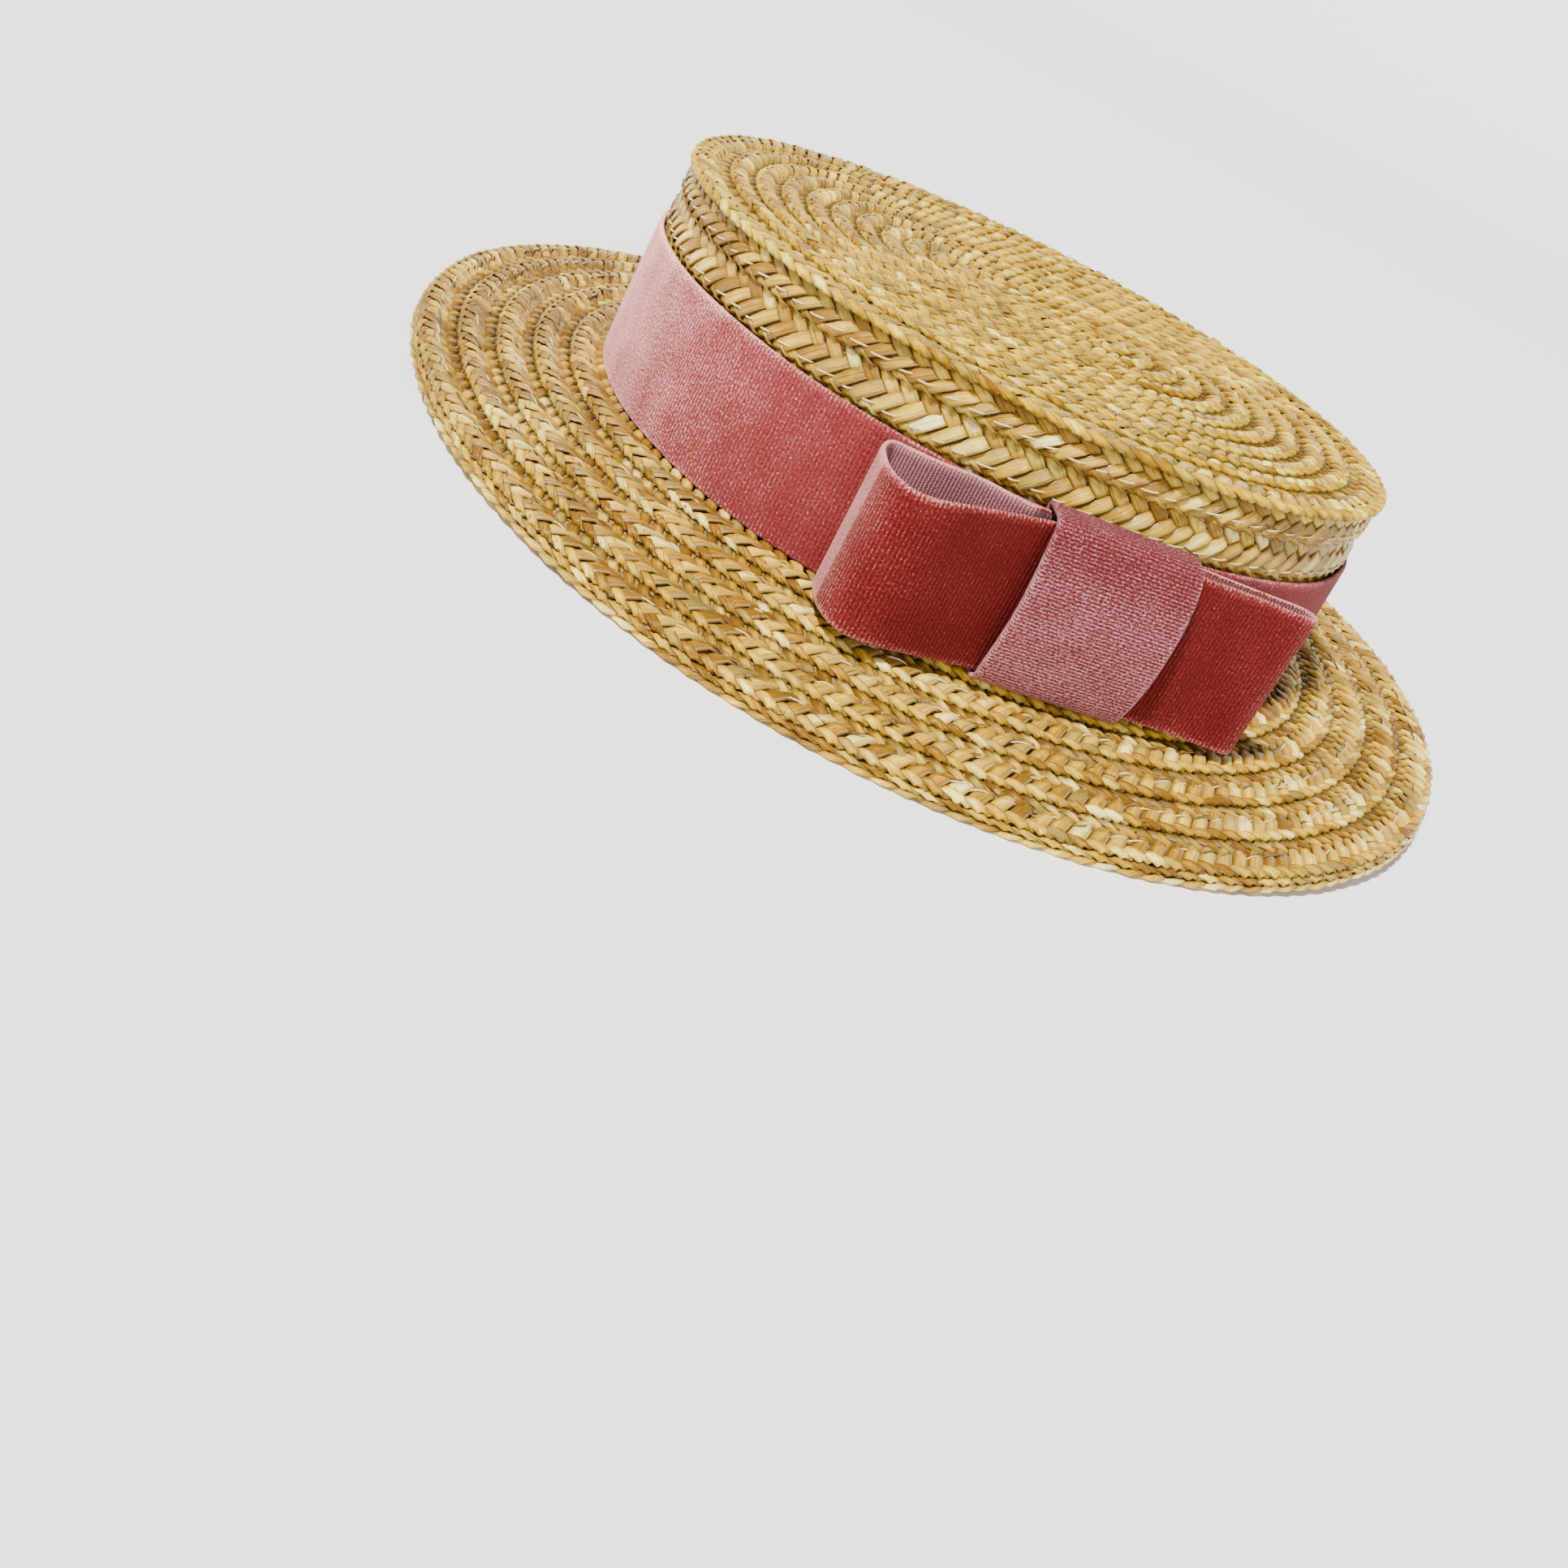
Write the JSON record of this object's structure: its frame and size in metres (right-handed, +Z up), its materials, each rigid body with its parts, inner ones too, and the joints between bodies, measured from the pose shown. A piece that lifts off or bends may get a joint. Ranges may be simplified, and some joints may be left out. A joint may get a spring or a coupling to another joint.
{
  "type": "straw boater hat",
  "caption": "Straw boater with a flat oval crown and a level brim of sewn braid, a wide velvet band and a flat velvet bow.",
  "frame": {"origin": "middle of the brim's outline, on the surface that the hat rests on", "axes": "+Z up through the crown, X along the hat's length, the bow on the -Y side"},
  "size_m": [0.3006, 0.273, 0.0678],
  "materials": {
    "crown_straw": "natural plaited straw, satin",
    "brim_straw": "natural plaited straw, satin",
    "edge_straw": "natural plaited straw, satin",
    "band_velvet": "dusty rose velvet, soft pile",
    "loop_velvet": "rose velvet, soft pile",
    "knot_velvet": "pale rose velvet, soft pile"
  },
  "bodies": {
    "root": {"crown": "crown_straw", "brim": "brim_straw", "brim_edge_braid": "edge_straw", "hatband": "band_velvet", "bow_loops": "loop_velvet", "bow_knot": "knot_velvet"}
  },
  "joints": []
}
